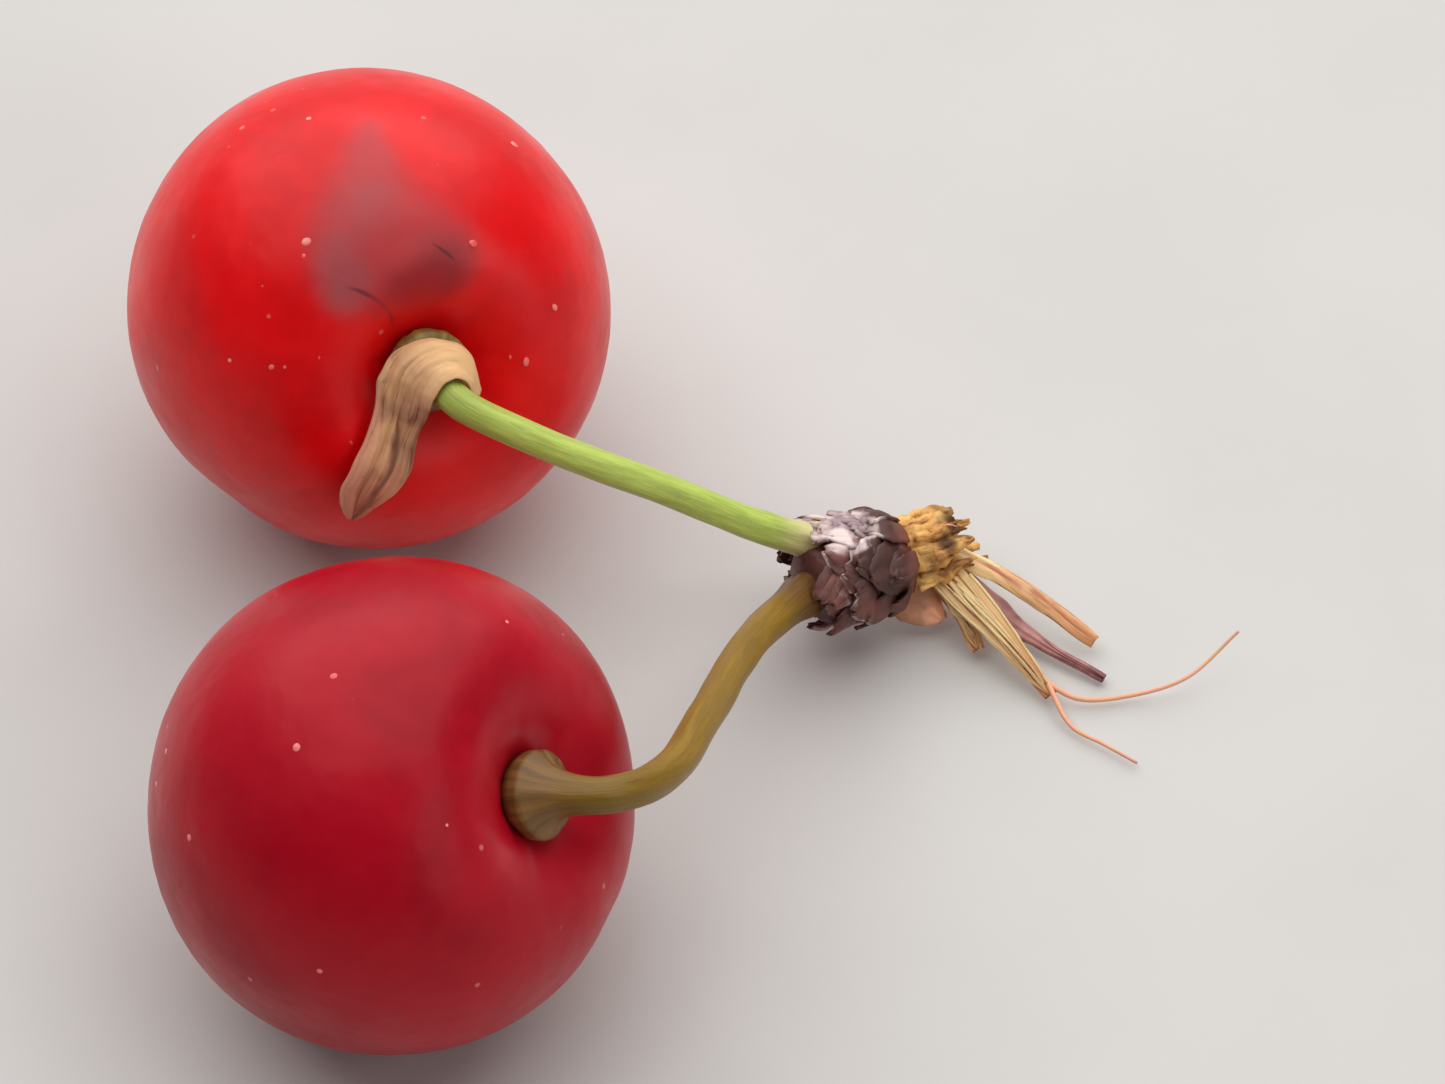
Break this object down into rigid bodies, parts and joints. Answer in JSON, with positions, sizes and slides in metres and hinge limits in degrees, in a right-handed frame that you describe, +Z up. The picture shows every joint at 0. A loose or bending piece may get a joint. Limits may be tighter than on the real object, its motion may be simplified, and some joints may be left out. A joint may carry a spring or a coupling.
{
  "type": "cherries on stalks",
  "caption": "Joined pair of ripe sour cherries on curved stalks, with the woody spur and torn wood they were picked with.",
  "frame": {"origin": "middle of the pair's bounding box, on the surface that the fruits rest on", "axes": "+Z up, +X from the fruits towards the spur and the torn wood, -Y towards the deeper red fruit"},
  "size_m": [0.0492, 0.0484, 0.0212],
  "materials": {
    "bright_skin": "glossy scarlet skin with a soft bruise",
    "deep_skin": "glossy deep red skin",
    "green_stalk": "smooth yellow-green stalk",
    "olive_stalk": "smooth olive stalk, browner at the spur",
    "dry_bract": "dry tan papery bract with lengthwise folds",
    "spur_bark": "purple-brown bud scales with silver-grey skin",
    "raw_wood": "ochre torn wood and straw fibres"
  },
  "bodies": {
    "root": {"cherry_bright": "bright_skin", "cherry_deep": "deep_skin", "stalk_bright": "green_stalk", "stalk_deep": "olive_stalk", "dried_bract": "dry_bract", "spur": "spur_bark", "torn_wood": "raw_wood"}
  },
  "joints": []
}
